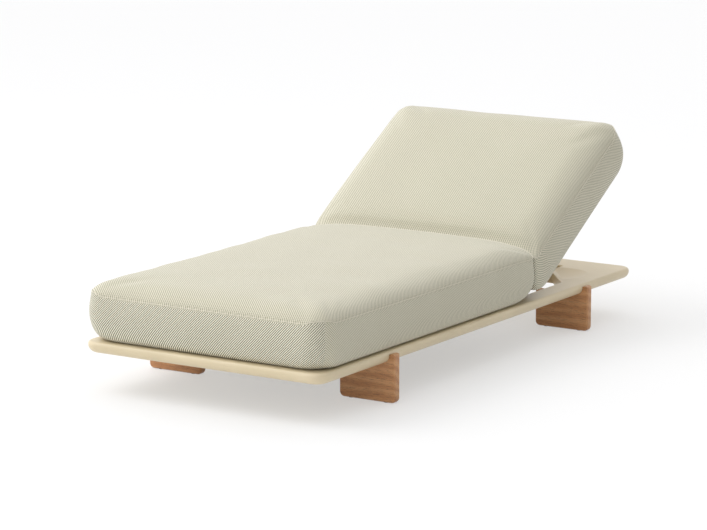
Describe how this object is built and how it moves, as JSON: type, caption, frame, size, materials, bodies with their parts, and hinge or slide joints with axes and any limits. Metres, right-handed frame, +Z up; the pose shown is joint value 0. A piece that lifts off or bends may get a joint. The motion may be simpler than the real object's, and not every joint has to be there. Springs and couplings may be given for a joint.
{
  "type": "sun lounger",
  "caption": "Low sun lounger with a bullnose platform on wooden plate feet, a thick padded seat and a padded backrest that reclines on a notched prop.",
  "frame": {"origin": "floor level, midway between the long sides and midway between foot end and head end", "axes": "+Z up, +Y from the foot end towards the head end, +X to the right hand side as seen from the foot end"},
  "size_m": [0.934, 2, 0.6907],
  "materials": {
    "lacquered_aluminium": "satin cream lacquer",
    "oiled_hardwood": "oiled, open grain",
    "nylon": "moulded",
    "stainless_steel": "brushed",
    "rubber": "matt",
    "twill_fabric": "coarse outdoor twill",
    "foam": "open cell foam"
  },
  "bodies": {
    "base": {"platform": "lacquered_aluminium", "foot_front_right": "oiled_hardwood", "foot_front_left": "oiled_hardwood", "foot_rear_right": "oiled_hardwood", "foot_rear_left": "oiled_hardwood", "foot_glides": "nylon", "foot_bolts": "stainless_steel", "deck_slat_1": "lacquered_aluminium", "deck_slat_2": "lacquered_aluminium", "deck_slat_3": "lacquered_aluminium", "deck_slat_4": "lacquered_aluminium", "deck_slat_5": "lacquered_aluminium", "deck_slat_6": "lacquered_aluminium", "deck_slat_7": "lacquered_aluminium", "deck_slat_8": "lacquered_aluminium", "deck_slat_9": "lacquered_aluminium", "deck_slat_10": "lacquered_aluminium", "deck_screws": "stainless_steel", "hinge_beam": "lacquered_aluminium", "hinge_bracket_right": "stainless_steel", "hinge_bracket_left": "stainless_steel", "hinge_pin_right": "stainless_steel", "hinge_pin_left": "stainless_steel", "rack_right": "lacquered_aluminium", "rack_left": "lacquered_aluminium", "rest_pads": "rubber", "seat_cushion": "twill_fabric", "seat_foam": "foam"},
    "backrest": {"back_arm_right": "lacquered_aluminium", "back_arm_left": "lacquered_aluminium", "hinge_bush_right": "nylon", "hinge_bush_left": "nylon", "back_slat_1": "lacquered_aluminium", "back_slat_2": "lacquered_aluminium", "back_slat_3": "lacquered_aluminium", "back_slat_4": "lacquered_aluminium", "back_slat_5": "lacquered_aluminium", "back_slat_6": "lacquered_aluminium", "back_slat_7": "lacquered_aluminium", "back_slat_screws": "stainless_steel", "prop_shaft": "stainless_steel", "shaft_clips": "stainless_steel"},
    "prop": {"prop_arm_right": "stainless_steel", "prop_arm_left": "stainless_steel", "prop_foot_bar": "stainless_steel", "foot_sleeve_right": "nylon", "foot_sleeve_left": "nylon"},
    "back_cushion_body": {"back_cushion": "twill_fabric", "back_foam": "foam"}
  },
  "joints": [
    {"name": "backrest_recline", "type": "hinge", "parent": "base", "child": "backrest", "pos_m": [0, 0.366, 0.15], "axis": [1, 0, 0], "range_deg": [-31, 14]},
    {"name": "prop_swing", "type": "hinge", "parent": "backrest", "child": "prop", "pos_m": [0, 0.52286, 0.24425], "axis": [1, 0, 0], "range_deg": [-28.5, 62.5]},
    {"name": "cushion_fold", "type": "hinge", "parent": "base", "child": "back_cushion_body", "pos_m": [0, 0.285, 0.345], "axis": [1, 0, 0], "range_deg": [-31.5, 14.5]}
  ],
  "couplings": [
    {"joint": "prop_swing", "follows": "backrest_recline", "ratio": -2},
    {"joint": "cushion_fold", "follows": "backrest_recline", "ratio": 1}
  ]
}
